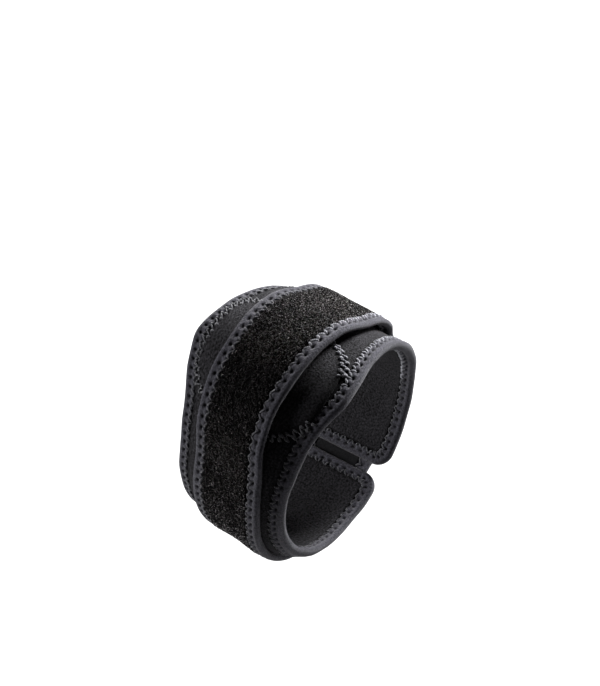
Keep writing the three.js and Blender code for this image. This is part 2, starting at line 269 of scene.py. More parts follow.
class Strip:
    """A long strip of cloth: its length, thickness, corner radius, two edges and place in space."""

    def __init__(self, length, thickness, corner, edges, place):
        self.length, self.thickness, self.corner = length, thickness, corner
        self.edges, self.place = edges, place

    def inward(self, run, along):
        """How far a place lies inside the strip's outline, whose corners are round."""
        elbow, hand = self.edges(run)
        side = np.minimum(along - elbow, hand - along)
        end = np.minimum(run, self.length - run)
        a = np.maximum(self.corner - side, 0)
        b = np.maximum(self.corner - end, 0)
        return np.where((a > 0) & (b > 0), self.corner - np.hypot(a, b), np.minimum(side, end))

    def inset_edges(self, run, inset):
        """The two edges at a run once the outline is moved inwards by inset."""
        run, inset = np.broadcast_arrays(np.asarray(run, float), inset)
        elbow, hand = self.edges(run)
        before, after = self.edges(run - 1), self.edges(run + 1)
        slants = [np.hypot(1, (b - a) / 2) for a, b in zip(before, after)]
        corner = np.maximum(self.corner - inset, 0)
        end = np.minimum(run, self.length - run)
        into = np.clip(corner - (end - inset), 0, corner)
        cut = corner - np.sqrt(corner**2 - into**2)
        return elbow + inset * slants[0] + cut, hand - inset * slants[1] - cut


OVERLAP_RISE = STRAP_THICKNESS + 0.3 + LAYER_GAP + HOOK_THICKNESS + 0.35
STRAP_LENGTH = 360 * PER_DEGREE + STRAP_OVERLAP
BAND_START_ANGLE = SPLIT_ANGLE + BAND_SPLIT / 2 / PER_DEGREE


def band_place(run, along, level):
    """A point of the band."""
    angle = BAND_START_ANGLE + run / PER_DEGREE
    return on_ring(angle, along, band_top(angle, along) - BAND_THICKNESS + level)


def strap_place(run, along, level):
    """A point of the strap."""
    return on_ring(strap_angle(run), along, strap_seat(run, along) + level)


band = Strip(
    length=360 * PER_DEGREE - BAND_SPLIT,
    thickness=BAND_THICKNESS,
    corner=BAND_CORNER,
    edges=lambda run: band_edges(BAND_START_ANGLE + run / PER_DEGREE),
    place=band_place,
)
strap = Strip(
    length=STRAP_LENGTH,
    thickness=STRAP_THICKNESS,
    corner=STRAP_CORNER,
    edges=strap_edges,
    place=strap_place,
)
print("band", round(band.length), "mm long, strap", round(strap.length), "mm")

# %% [markdown]
# ## Putting arrays into meshes
#
# Every piece is an array of points and an array of four-cornered faces. The helper below turns the faces
# outwards by the sign of the enclosed volume, writes a UV map in millimetres of cloth, and stores masks
# that the materials read, such as how deep a point lies in a needle hole.

# %% Mesh helpers


def grid_quads(rows, columns, wrap_rows=False, wrap_columns=False):
    """The faces of a grid of points, rows by columns, joined round where it wraps."""
    i = np.arange(rows if wrap_rows else rows - 1)[:, None]
    j = np.arange(columns if wrap_columns else columns - 1)[None, :]
    here, below = i * columns, (i + 1) % rows * columns
    right = (j + 1) % columns
    quads = np.stack(np.broadcast_arrays(here + j, here + right, below + right, below + j), axis=-1)
    return quads.reshape(-1, 4)


def end_quads(ring):
    """A cap for a closed ring of points whose second half runs back over its first half."""
    n = len(ring)
    j = np.arange(n // 2 - 1)
    return np.stack([ring[j], ring[j + 1], ring[n - 2 - j], ring[n - 1 - j]], axis=-1)


def shell_quads(rows, columns):
    """The faces of a closed shell: a ring of points that is carried along, with a cap at each end."""
    ring = np.arange(columns)
    caps = [end_quads(ring)[:, ::-1], end_quads(ring + (rows - 1) * columns)]
    return np.concatenate([grid_quads(rows, columns, wrap_columns=True), *caps])


def volume_of(points, quads):
    """The enclosed volume by its sign: the sum of the tetrahedra from the origin to each half face."""
    a, b, c, d = (points[quads[:, k]] for k in range(4))
    return (np.einsum("ij,ij->i", a, np.cross(b, c)) + np.einsum("ij,ij->i", a, np.cross(c, d))).sum() / 6


def make_piece(name, points, quads, material, uv=None, masks=None):
    """A new object from points in millimetres and quads, with smooth faces that look outwards."""
    points = np.asarray(points, float).reshape(-1, 3)
    if volume_of(points, quads) < 0:
        quads = quads[:, ::-1]
    mesh = bpy.data.meshes.new(name)
    mesh.vertices.add(len(points))
    mesh.vertices.foreach_set("co", (points * MM).astype(np.float32).ravel())
    mesh.loops.add(quads.size)
    mesh.loops.foreach_set("vertex_index", quads.astype(np.int32).ravel())
    mesh.polygons.add(len(quads))
    mesh.polygons.foreach_set("loop_start", np.arange(0, quads.size, 4, dtype=np.int32))
    mesh.polygons.foreach_set("use_smooth", np.ones(len(quads), bool))
    mesh.update(calc_edges=True)
    if uv is not None:
        layer = mesh.uv_layers.new(name="cloth")
        layer.data.foreach_set("uv", np.asarray(uv, np.float32).reshape(-1, 2)[quads.ravel()].ravel())
    for key, mask in (masks or {}).items():
        attribute = mesh.attributes.new(key, "FLOAT", "POINT")
        attribute.data.foreach_set("value", np.asarray(mask, np.float32).ravel())
    mesh.materials.append(material)
    piece = bpy.data.objects.new(name, mesh)
    bpy.context.scene.collection.objects.link(piece)
    print(name, "has", 2 * len(quads), "triangles")
    return piece


SAME_POINT = 0.002


def merge_doubles(piece):
    """Joins points that coincide, as at the rounded ends of a strip."""
    work = bmesh.new()
    work.from_mesh(piece.data)
    bmesh.ops.remove_doubles(work, verts=work.verts, dist=SAME_POINT * MM)
    bmesh.ops.dissolve_degenerate(work, dist=SAME_POINT * MM, edges=work.edges)
    work.to_mesh(piece.data)
    work.free()
    piece.data.update()


def tubes(centres, ups, radius, sides, widening=1.0):
    """Many short closed tubes. centres is tubes by steps by xyz. Each ring lies across the line of centres,
    at radius times the cosine and sine of an even turn from ups, and is wider than high by widening."""
    count, steps, _ = centres.shape
    ahead = np.gradient(centres, axis=1)
    ahead /= np.linalg.norm(ahead, axis=2, keepdims=True) + 1e-12
    across = np.cross(ahead, np.broadcast_to(ups, centres.shape))
    across /= np.linalg.norm(across, axis=2, keepdims=True) + 1e-12
    upright = np.cross(across, ahead)
    turn = 2 * np.pi * np.arange(sides) / sides
    wide = across[:, :, None] * widening
    spokes = wide * np.cos(turn)[:, None] + upright[:, :, None] * np.sin(turn)[:, None]
    points = centres[:, :, None] + np.asarray(radius)[..., None, None] * spokes
    one = shell_quads(steps, sides)
    quads = (one[None] + np.arange(count)[:, None, None] * steps * sides).reshape(-1, 4)
    return points.reshape(-1, 3), quads


# %% [markdown]
# ## Materials
#
# Four kinds of finish: knitted cloth (a charcoal jersey, a blue-grey tape and the strap's black backing),
# fluffy grey thread, black loop pile with its ground, and hook tape. The rows of knit come from the cloth's
# own UV map, so that they follow it round the ring. Two effects are shared by several finishes, and each is
# a node group: the knit, and the soft unevenness that dust and handling leave in black cloth. Sheen is the
# same all over a piece, so it is set on the shader, and only the colour varies.

# %% Node helpers and the shared groups


def add_node(tree, kind, **settings):
    """A new node, with its properties and its unlinked inputs set by name."""
    node = tree.nodes.new(kind)
    for key, value in settings.items():
        if hasattr(node, key):
            setattr(node, key, value)
        else:
            node.inputs[key.replace("_", " ")].default_value = value
    return node


def new_group(name, inputs, outputs):
    """An empty node group with number inputs that have these values, and number outputs."""
    group = bpy.data.node_groups.new(name, "ShaderNodeTree")
    for socket, kind, value in inputs:
        made = group.interface.new_socket(socket, in_out="INPUT", socket_type=kind)
        if value is not None:
            made.default_value = value
    for socket in outputs:
        group.interface.new_socket(socket, in_out="OUTPUT", socket_type="NodeSocketFloat")
    return group, group.nodes.new("NodeGroupInput"), group.nodes.new("NodeGroupOutput")


def math_node(tree, operation, *values):
    """A Math node on links or numbers, in the order of its inputs."""
    node = add_node(tree, "ShaderNodeMath", operation=operation)
    for socket, value in zip(node.inputs, values):
        if isinstance(value, (int, float)):
            socket.default_value = value
        else:
            tree.links.new(value, socket)
    return node.outputs[0]


def knit_group():
    """Columns of knit: the absolute sine of the place across makes a ridge for each wale, and a second sine
    along it, which leans over from one wale to the next, breaks the ridge into stitches."""
    group, given, result = new_group(
        "knit",
        [("Cloth", "NodeSocketVector", None), ("Wales per mm", "NodeSocketFloat", 2.2)],
        ["Height"],
    )
    split = group.nodes.new("ShaderNodeSeparateXYZ")
    group.links.new(given.outputs["Cloth"], split.inputs[0])
    along = math_node(group, "MULTIPLY", split.outputs["X"], given.outputs["Wales per mm"])
    wale = math_node(group, "MULTIPLY", split.outputs["Y"], given.outputs["Wales per mm"])
    wave = math_node(group, "SINE", math_node(group, "MULTIPLY", wale, math.pi))
    lean = math_node(group, "MULTIPLY", math_node(group, "PINGPONG", wale, 0.5), 1.4)
    turns = math_node(group, "MULTIPLY", math_node(group, "ADD", along, lean), 2 * math.pi)
    stitch = math_node(group, "MULTIPLY_ADD", math_node(group, "SINE", turns), 0.3, 0.5)
    height = math_node(group, "MULTIPLY", math_node(group, "ABSOLUTE", wave), stitch)
    group.links.new(height, result.inputs["Height"])
    return group


def handling_group():
    """Soft unevenness: a broad cloudy shade and a fine speck, mixed into one number about 1."""
    group, given, result = new_group(
        "handling",
        [
            ("Cloth", "NodeSocketVector", None),
            ("Cloud", "NodeSocketFloat", 0.25),
            ("Speck", "NodeSocketFloat", 0.3),
        ],
        ["Shade"],
    )
    total = 1.0
    for scale, amount in ((0.09, "Cloud"), (1.0, "Speck")):
        noise = add_node(group, "ShaderNodeTexNoise", Scale=scale, Detail=3.0)
        group.links.new(given.outputs["Cloth"], noise.inputs["Vector"])
        centred = math_node(group, "SUBTRACT", noise.outputs["Fac"], 0.5)
        part = math_node(group, "MULTIPLY", centred, given.outputs[amount])
        total = math_node(group, "ADD", part, total)
    group.links.new(math_node(group, "MAXIMUM", total, 0.15), result.inputs["Shade"])
    return group


knit = knit_group()
handling = handling_group()
print("shared groups:", knit.name, handling.name)

# %% The finishes


def new_finish(name, roughness, sheen, sheen_roughness=0.45, tint=(1, 1, 1, 1), specular=0.1):
    """A material with a Principled shader whose constant values sit on its own sockets."""
    material = bpy.data.materials.new(name)
    material.use_nodes = True
    shader = material.node_tree.nodes["Principled BSDF"]
    shader.inputs["Roughness"].default_value = roughness
    shader.inputs["Sheen Weight"].default_value = sheen
    shader.inputs["Sheen Roughness"].default_value = sheen_roughness
    shader.inputs["Sheen Tint"].default_value = tint
    shader.inputs["Specular IOR Level"].default_value = specular
    return material, material.node_tree, shader


def place_group(tree, group, vector, **values):
    """A shared group in a material, fed with a vector and its own values."""
    node = tree.nodes.new("ShaderNodeGroup")
    node.node_tree = group
    tree.links.new(vector, node.inputs["Cloth"])
    for key, value in values.items():
        node.inputs[key.replace("_", " ")].default_value = value
    return node


def shaded_colour(tree, shader, colour, shade, painted_shade_mask=None):
    """Feeds Base Color with a colour times a shade, and darker still, as painted shade, where the mask that
    painted_shade_mask names is 1.
    """
    if painted_shade_mask:
        mask = add_node(tree, "ShaderNodeAttribute", attribute_name=painted_shade_mask)
        kept = math_node(tree, "MULTIPLY_ADD", mask.outputs["Fac"], -0.9, 1.0)
        shade = math_node(tree, "MULTIPLY", shade, kept)
    mix = add_node(tree, "ShaderNodeMix", data_type="RGBA", blend_type="MULTIPLY")
    mix.inputs[0].default_value = 1.0
    mix.inputs[6].default_value = (*colour, 1)
    tree.links.new(shade, mix.inputs[7])
    tree.links.new(mix.outputs[2], shader.inputs["Base Color"])


def bump(tree, shader, height, distance):
    """A Bump node of a height, with the distance in millimetres."""
    node = add_node(tree, "ShaderNodeBump", Strength=1.0, Distance=distance * MM)
    tree.links.new(height, node.inputs["Height"])
    tree.links.new(node.outputs[0], shader.inputs["Normal"])


def cloth_map(tree):
    """The piece's own UV map, in millimetres of cloth."""
    return add_node(tree, "ShaderNodeUVMap", uv_map="cloth").outputs[0]


def jersey_finish(name, colour, wales, specular, sheen, knit_depth, nap, cloud, speck, painted_shade_mask):
    """Knitted cloth: the knit as bump over nap times a fine fuzz, and a colour that handling made uneven,
    with painted shade where its mask is 1.
    """
    material, tree, shader = new_finish(name, 0.8, sheen, specular=specular)
    uv = cloth_map(tree)
    rows = place_group(tree, knit, uv, Wales_per_mm=wales)
    worn = place_group(tree, handling, uv, Cloud=cloud, Speck=speck)
    shaded_colour(tree, shader, colour, worn.outputs["Shade"], painted_shade_mask)
    fuzz = add_node(tree, "ShaderNodeTexNoise", Scale=1.3, Detail=3.0, Roughness=0.6)
    tree.links.new(uv, fuzz.inputs["Vector"])
    height = math_node(tree, "MULTIPLY_ADD", fuzz.outputs["Fac"], nap, rows.outputs["Height"])
    bump(tree, shader, height, knit_depth)
    return material


FINISH_COLUMNS = ("colour", "wales", "specular", "sheen", "knit_depth", "nap", "cloud", "speck", "painted_shade_mask")
# The last column names the mask of painted shade: needle holes, the tape under the thread and creases beside
# the seams.
KNITTED = {
    "jersey_knit": ((0.0184, 0.0178, 0.0200), 2.2, 0.02, 0.035, 0.14, 10.0, 0.9, 5.5, "pit"),
    "tape_knit": ((0.040, 0.039, 0.048), 3.0, 0.04, 0.14, 0.10, 6.0, 0.4, 3.0, "pit"),
    "backing_knit": ((0.012, 0.012, 0.013), 2.2, 0.03, 0.03, 0.12, 3.0, 0.4, 1.6, None),
}
jersey, tape_cloth, backing_cloth = (
    jersey_finish(name, **dict(zip(FINISH_COLUMNS, row))) for name, row in KNITTED.items()
)


def thread_finish():
    """Fluffy thread: a sine that slants round the tube makes its plies, and a painted highlight lightens the
    thread over the top of the strips on the hand side.
    """
    material, tree, shader = new_finish("thread", 0.7, 0.4, sheen_roughness=0.3)
    uv = cloth_map(tree)
    worn = place_group(tree, handling, uv, Cloud=1.6, Speck=3.0)
    # Painted highlight: the thread's colour is lightened where this mask is 1, over the top of the strips on
    # the hand side.
    loose_and_painted_highlight = add_node(tree, "ShaderNodeAttribute", attribute_name="loose_and_painted_highlight")
    lighter = math_node(tree, "MULTIPLY_ADD", loose_and_painted_highlight.outputs["Fac"], 1.9, 0.85)
    shade = math_node(tree, "MULTIPLY", worn.outputs["Shade"], lighter)
    shaded_colour(tree, shader, (0.070, 0.070, 0.078), shade)
    split = tree.nodes.new("ShaderNodeSeparateXYZ")
    tree.links.new(uv, split.inputs[0])
    slant = math_node(tree, "MULTIPLY_ADD", split.outputs["X"], 9.0, split.outputs["Y"])
    bump(tree, shader, math_node(tree, "SINE", slant), 0.08)
    return material


def pile_finish(name, colour, sheen):
    """Loop pile: black, rough, and with a warm sheen where light grazes the fibres."""
    tint = (1, 0.955, 0.97, 1)
    material, tree, shader = new_finish(name, 0.85, sheen, sheen_roughness=0.24, tint=tint, specular=0.035)
    uv = cloth_map(tree)
    worn = place_group(tree, handling, uv, Cloud=0.7, Speck=1.4)
    # This mask holds the loops' random tone and the painted shade at their feet and on the ground between
    # them.
    random = add_node(tree, "ShaderNodeAttribute", attribute_name="loop_tone_and_painted_shade")
    shade = math_node(tree, "MULTIPLY", worn.outputs["Shade"], random.outputs["Fac"])
    shaded_colour(tree, shader, colour, shade)
    fuzz = add_node(tree, "ShaderNodeTexNoise", Scale=3.5, Detail=5.0, Roughness=0.7)
    tree.links.new(uv, fuzz.inputs["Vector"])
    bump(tree, shader, fuzz.outputs["Fac"], 0.35)
    return material


thread = thread_finish()
pile = pile_finish("loop_pile", (0.0024, 0.0022, 0.0023), 0.8)
ground_cloth = pile_finish("pile_ground", (0.0022, 0.002, 0.0021), 0.1)
hook_tape = pile_finish("hook_tape", (0.006, 0.006, 0.006), 0.05)
print("finishes:", [m.name for m in bpy.data.materials])

# %% [markdown]
# ## The folded tape and its zigzag
#
# The tape is folded over the strip's edge and sewn through with a wide zigzag. The needle pulls a pit into
# the tape 3 mm in from the fold, and the thread runs from pit to pit over the tape's raw edge. So the
# tape's profile is a rounded U, carried once round the strip's outline, with a pit pressed in at each inner
# turn of the zigzag.

# %% The way round a strip's outline
PITCH = 4.2
PIT_INSET = 3.3
PIT_DEPTH = 0.9
ZIGZAG_WIDTH = 3.3
STATIONS_PER_PITCH = 8
TURN_STATION = 3


def outline(strip):
    """The outline once round as runs, places along X, and the inward step of each in both."""
    c, length = strip.corner, strip.length
    turns = np.radians(np.arange(3, 90, 3))
    sides = np.arange(c, length - c, 0.5)

    def side(index, runs):
        edge = strip.edges(runs)[index]
        inward = np.hypot(1, np.gradient(edge, runs)) * (1 if index == 0 else -1)
        return np.stack([runs, edge, np.zeros_like(runs), inward])

    def corner(index, far, turn):
        run = c * (1 - np.cos(turn))
        run = length - run if far else run
        sign = 1 if index == 0 else -1
        along = strip.edges(run)[index] + sign * c * (1 - np.sin(turn))
        return np.stack([run, along, np.cos(turn) * (-1 if far else 1), np.sin(turn) * sign])

    def end(far):
        run = length if far else 0.0
        elbow, hand = strip.edges(np.array(run))
        along = np.linspace(elbow + c, hand - c, 30)
        return np.stack([np.full(30, run), along, np.full(30, -1.0 if far else 1.0), np.zeros(30)])

    return np.concatenate(
        [
            corner(0, False, turns),
            side(0, sides),
            corner(0, True, turns[::-1]),
            end(True),
            corner(1, True, turns),
            side(1, sides)[:, ::-1],
            corner(1, False, turns[::-1]),
            end(False)[:, ::-1],
        ],
        axis=1,
    )


def even_outline(strip):
    """The outline at even steps, so many to each zigzag, and the distance walked to each."""
    way = outline(strip)
    closed = np.concatenate([way, way[:, :1]], axis=1)
    walked = np.concatenate([[0], np.cumsum(np.hypot(*np.diff(closed[:2], axis=1)))])
    pitches = round(walked[-1] / PITCH)
    steps = np.linspace(0, walked[-1], pitches * STATIONS_PER_PITCH, endpoint=False)
    return [np.interp(steps, walked, row) for row in closed], steps


def at_inset(strip, way, inset, level):
    """Points that lie inwards of the outline by inset and above the strip's inner face by level."""
    run, along, in_run, in_along = way
    return strip.place(run + inset * in_run, along + inset * in_along, level)


print("the band's outline has", len(outline(band)[0]), "points")

# %% The tape's profile


def tape_profile(thickness, inner_steps):
    """The closed profile of the tape: a half circle for the fold between two straight legs, and a lining
    inside. It gives insets, levels and parts, which are 1 on the outer leg, -1 on the inner leg and 0
    elsewhere."""
    leg = np.array([TAPE_LEG, 5.4, 4.8, 4.2, 3.7, 3.3, 2.95, 2.5, 2.0, 1.6])
    fold = np.radians(np.linspace(75, -75, 7))
    fold_radius = 1.35
    inner_leg = np.linspace(leg[-1], TAPE_LEG, inner_steps)
    lining = np.array([TAPE_LEG, 3.0, 1.2])
    half = thickness / 2
    drop = np.array([0.8, 1.0, 1.0])
    insets = [leg, fold_radius * (1 - np.cos(fold)), inner_leg, lining, lining[::-1]]
    levels = [leg * 0 + thickness, half + half * np.sin(fold), inner_leg * 0, drop, thickness - drop[::-1]]
    parts = [leg * 0 + 1, fold * 0, inner_leg * 0 - 1, lining * 0, lining * 0]
    return np.concatenate(insets), np.concatenate(levels), np.concatenate(parts)


def tape_relief(inset, phase, walked):
    """How far the tape's face stands above flat: bell curves for a soft roll along the fold, a sewn valley,
    a pit at each inner turn of the zigzag, where phase is 0, and a lump between two pits."""
    from_pit = np.minimum(phase, 1 - phase) * PITCH
    from_lump = PITCH / 2 - from_pit
    roll = 0.14 * np.exp(-(((inset - 2.0) / 0.9) ** 2))
    valley = -0.08 * np.exp(-(((inset - PIT_INSET) / 0.7) ** 2))
    pit = np.exp(-((from_pit / 0.85) ** 2) - ((inset - PIT_INSET) / 0.7) ** 2)
    lump = 0.3 * np.exp(-((from_lump / 1.1) ** 2) - ((inset - 4.3) / 1.2) ** 2)
    raw_edge = -0.45 * smoothstep(inset, 5.0, TAPE_LEG)
    return roll + valley + lump + raw_edge - PIT_DEPTH * pit + 0.06 * ripple(walked, 7, 8), pit


def make_tape(name, strip, inner_steps):
    """The tape as a grid of stations round the outline by points round the profile. A mask marks its pits
    and its raw edge, which lie in the shade of the thread."""
    way, walked = even_outline(strip)
    way = [row[:, None] for row in way]
    phase = (np.arange(len(walked)) % STATIONS_PER_PITCH / STATIONS_PER_PITCH)[:, None]
    inset, level, part = (row[None, :] for row in tape_profile(strip.thickness, inner_steps))
    relief, pit = tape_relief(inset, phase, walked[:, None])
    points = at_inset(strip, way, inset, level + part * relief)
    rows, columns = points.shape[:2]
    across = np.concatenate([[0], np.cumsum(np.hypot(np.diff(inset[0]), np.diff(level[0])))])
    uv = np.stack(np.broadcast_arrays(walked[:, None], across[None, :]), axis=-1)
    quads = grid_quads(rows, columns, wrap_rows=True, wrap_columns=True)
    shadow = np.maximum(pit, 0.75 * smoothstep(inset, 4.7, TAPE_LEG))
    return make_piece(name, points, quads, tape_cloth, uv, {"pit": shadow * np.abs(part)})


band_tape = make_tape("band_tape", band, 9)
strap_tape = make_tape("strap_tape", strap, 5)

# %% [markdown]
# ## The zigzag thread
#
# The thread is real geometry, because its lumps catch the light and are the first thing one sees on such a
# strap. Each leg of the zigzag is a short tube that rises out of one needle hole, bows over the cloth and
# dives into the next, on the outer side and again on the inner side.

# %% Legs of thread
THREAD_RADIUS = 0.37
THREAD_WIDENING = 1.4
THREAD_BOW = 0.34
THREAD_SINK = 0.45
LEG_STEPS = 8
LEG_SIDES = 6


def bowed_legs(start, finish, up, bow):
    """Lines from near start to near finish that rise along up by bow times a sine, and sink into the
    cloth."""
    t = np.linspace(0, 1, LEG_STEPS)[None, :, None]
    rise = (bow + THREAD_SINK) * np.sin(np.pi * t) ** 0.7 - THREAD_SINK
    along = 0.1 + 0.8 * t
    return start[:, None] * (1 - along) + finish[:, None] * along + up[:, None] * rise


def looseness_and_painted_highlight(points):
    """1 where the strips bend over the top on the hand side, so that the thread stands loose, and 0
    elsewhere. The same mask paints a highlight on the thread there."""
    angle = np.degrees(np.arctan2(points[:, 2], -points[:, 1]))
    return smoothstep(angle, 65, 95) * smoothstep(points[:, 0], -5, 10)


def make_legs(name, starts, finishes, ups, rng, bow, thickness):
    """One tube of thread from each start to its finish, each a little off its place, height and thickness."""
    # The same mask makes the thread there looser and plumper, and paints a highlight on it.
    loose_and_painted_highlight = looseness_and_painted_highlight(starts)
    starts, finishes = (ends + rng.normal(0, 0.13, ends.shape) for ends in (starts, finishes))
    lift = bow * rng.uniform(0.75, 1.25, len(starts)) * (0.75 + 0.5 * loose_and_painted_highlight)
    centres = bowed_legs(starts, finishes, ups, lift[:, None, None])
    taper = 0.55 + 0.45 * np.sin(np.linspace(0.15, 0.85, LEG_STEPS) * np.pi)
    plump = (thickness * rng.uniform(0.85, 1.15, len(starts)) * (0.9 + 0.25 * loose_and_painted_highlight))[:, None] * taper
    points, quads = tubes(centres, ups[:, None], plump, LEG_SIDES, THREAD_WIDENING)
    number, step, side = np.indices((len(starts), LEG_STEPS, LEG_SIDES))
    uv = np.stack([step * 0.5 + number * 3.7, side / LEG_SIDES * 2 * np.pi], axis=-1)
    return make_piece(name, points, quads, thread, uv, {"loose_and_painted_highlight": np.repeat(loose_and_painted_highlight, LEG_SIDES * LEG_STEPS)})


def zigzag_on(name, strip, outer, seed):
    """The zigzag of a strip's tape, on its outer or its inner side."""
    way, _ = even_outline(strip)
    holes_way = [row[::STATIONS_PER_PITCH] for row in way]
    turns_way = [row[TURN_STATION::STATIONS_PER_PITCH] for row in way]
    level = strip.thickness if outer else 0.0
    sign = 1 if outer else -1
    holes = at_inset(strip, holes_way, PIT_INSET + 0.6, level - sign * 0.2)
    turns = at_inset(strip, turns_way, PIT_INSET + ZIGZAG_WIDTH, level)
    above = at_inset(strip, holes_way, PIT_INSET, level + sign)
    up = above - at_inset(strip, holes_way, PIT_INSET, level)
    up /= np.linalg.norm(up, axis=1, keepdims=True)
    starts = np.concatenate([holes, turns])
    finishes = np.concatenate([turns, np.roll(holes, -1, axis=0)])
    ups, rng = np.concatenate([up, up]), np.random.default_rng(seed)
    return make_legs(name, starts, finishes, ups, rng, THREAD_BOW, THREAD_RADIUS)


band_zigzag = zigzag_on("band_zigzag", band, True, 11)
band_zigzag_inside = zigzag_on("band_zigzag_inside", band, False, 12)
strap_zigzag = zigzag_on("strap_zigzag", strap, True, 13)
strap_zigzag_inside = zigzag_on("strap_zigzag_inside", strap, False, 14)

# %% [markdown]
# ## The cores
#
# Between the legs of the tape a strip is its full thickness and a little pillowy, because the stitching
# presses only its edges. Under the tape it is thin. The core is a closed ring of points across the strip,
# carried from one end to the other. The pile on the strap's outer side is a layer of its own.

# %% Closed layers that fill a strip


def layer_points(strip, inset, steps_along, margin_points, columns):
    """Runs and places along X of a grid that fills the strip inside inset, finer near its edges."""
    near = inset + np.array([0, 0.25, 0.6, 1.2, 2.0, 3.0])
    far = np.arange(near[-1] + steps_along, strip.length / 2, steps_along)
    from_end = np.concatenate([near, far])
    runs = np.concatenate([from_end, strip.length - from_end[::-1]])[:, None]
    margin = np.asarray(margin_points)[None, :]
    left, right = strip.inset_edges(runs, margin)
    middle = np.linspace(0, 1, columns)[None, 1:-1]
    between = left[:, -1:] * (1 - middle) + right[:, -1:] * middle
    return runs, np.concatenate([left, between, right[:, ::-1]], axis=1)


def make_layer(name, strip, inset, margin_points, levels, material, steps_along, marks=None, columns=22):
    """A closed layer between two levels. Each level and mark is a function of run, place along X and inward
    distance."""
    runs, along = layer_points(strip, inset, steps_along, margin_points, columns)
    runs = np.broadcast_to(runs, along.shape)
    deep = strip.inward(runs, along)
    low, high = (level(runs, along, deep) for level in levels)
    points = np.concatenate([strip.place(runs, along, high), strip.place(runs, along, low)[:, ::-1]], axis=1)
    quads = shell_quads(*points.shape[:2])
    both = np.concatenate([along, along[:, ::-1] + 200], axis=1)
    uv = np.stack([np.broadcast_to(runs[:, :1], both.shape), both], axis=-1)
    masks = {}
    for key, mark in (marks or {}).items():
        top = mark(runs, along, deep)
        masks[key] = np.concatenate([top, top[:, ::-1]], axis=1)
    piece = make_piece(name, points, quads, material, uv, masks)
    merge_doubles(piece)
    return piece


GRIPPED = 1.15
MARGIN = np.array([1.1, 3.6, 5.2, 5.6, 6.0, 6.4, 6.9, 7.6, 8.6, 10.5])


def pillow(deep):
    """0 where the tape grips the strip, and 1 once clear of the stitching."""
    return smoothstep(deep, 5.4, 6.5)


def band_low(run, along, deep):
    """The band's inner face, pressed in under the tape."""
    return GRIPPED * (1 - pillow(deep))


def band_high(run, along, deep):
    """The band's outer face: puffed a little beside the stitching, and with faint waves where it is
    compressed."""
    puff = 0.25 * smoothstep(deep, 7, 10.5)
    wave = 0.12 * ripple(run, 17, 21) * smoothstep(deep, 6, 10)
    return BAND_THICKNESS - GRIPPED * (1 - pillow(deep)) + puff + wave


def painted_shade_beside_seams(run, along, deep):
    """A mask of painted shade in the creases where stitching pulls the band in: beside the tape's raw edge,
    and just outside the pocket's rim on its hand side."""
    across = (along - POCKET_SHIFT) / POCKET_HALF_WIDTH
    half_length = POCKET_HALF_LENGTH - POCKET_TAPER * np.maximum(across, 0)
    from_pad = (BAND_START_ANGLE + run / PER_DEGREE - PAD_ANGLE - 360) * PER_DEGREE
    around_ring = (from_pad - POCKET_LEAN * np.minimum(across, 0) ** 2) / half_length
    powers = np.abs(across) ** POCKET_SQUARENESS + np.abs(around_ring) ** POCKET_SQUARENESS
    share = powers ** (1 / POCKET_SQUARENESS)
    rim = 0.9 * (1 - smoothstep(share, 1.04, 1.14)) * smoothstep(across, 0, 0.5)
    return np.maximum(rim, 0.75 * (1 - smoothstep(deep, 6.2, 7.3)))


band_core = make_layer(
    "band_core", band, 1.1, MARGIN, (band_low, band_high), jersey, 1.2, {"pit": painted_shade_beside_seams}, 34
)

# %% [markdown]
# ## The strap's core and its loop pile
#
# The strap's inner side is a plain black knit. Its outer side is loop pile: thousands of small loops of
# yarn that stand up from a black ground. Light catches the tops of the loops and dies between them, which
# no bump can do, so the loops are real. Each is a bent tube, thrown down at random but seeded.

# %% The strap's core and the ground of the pile
PILE_INSET = 5.8


def strap_low(run, along, deep):
    """The strap's inner face."""
    return GRIPPED * (1 - pillow(deep))


def strap_high(run, along, deep):
    """The core's outer face, under the pile."""
    return STRAP_THICKNESS - GRIPPED + 0 * deep


def ground_low(run, along, deep):
    """The underside of the pile's ground."""
    return STRAP_THICKNESS - 1.0 + 0 * deep


def ground_high(run, along, deep):
    """The ground of the pile, uneven as the loops lean together, and lower beside the stitching."""
    clump = 0.10 * ripple(run + 1.7 * along, 2.3, 22) + 0.10 * ripple(along - 0.8 * run, 1.9, 23)
    return STRAP_THICKNESS - 0.25 + 0.25 * smoothstep(deep, 6.0, 7.8) + clump


strap_core = make_layer("strap_core", strap, 1.1, MARGIN, (strap_low, strap_high), backing_cloth, 2.0)
ground_margin = PILE_INSET + np.array([0, 0.4, 0.9, 1.5, 2.2, 3.0])
pile_ground = make_layer(
    "pile_ground",
    strap,
    PILE_INSET,
    ground_margin,
    (ground_low, ground_high),
    ground_cloth,
    2.0,
    # The ground between the loops is darkened to a quarter: painted shade among the loops.
    {"loop_tone_and_painted_shade": lambda run, along, deep: 0.25 + 0 * deep},
)

# %% The loops
LOOP_COUNT = 6100
LOOP_STEPS = 4


def scatter_on_strap(count, low, high, rng):
    """Random places on the strap's face between two runs, inside its stitching."""
    run = rng.uniform(max(low, PILE_INSET), min(high, strap.length - PILE_INSET), 3 * count)
    left, right = strap.inset_edges(run, PILE_INSET + 0.9)
    along = left + (right - left) * rng.random(len(run))
    inside = strap.inward(run, along) > PILE_INSET + 0.7
    return run[inside][:count], along[inside][:count]


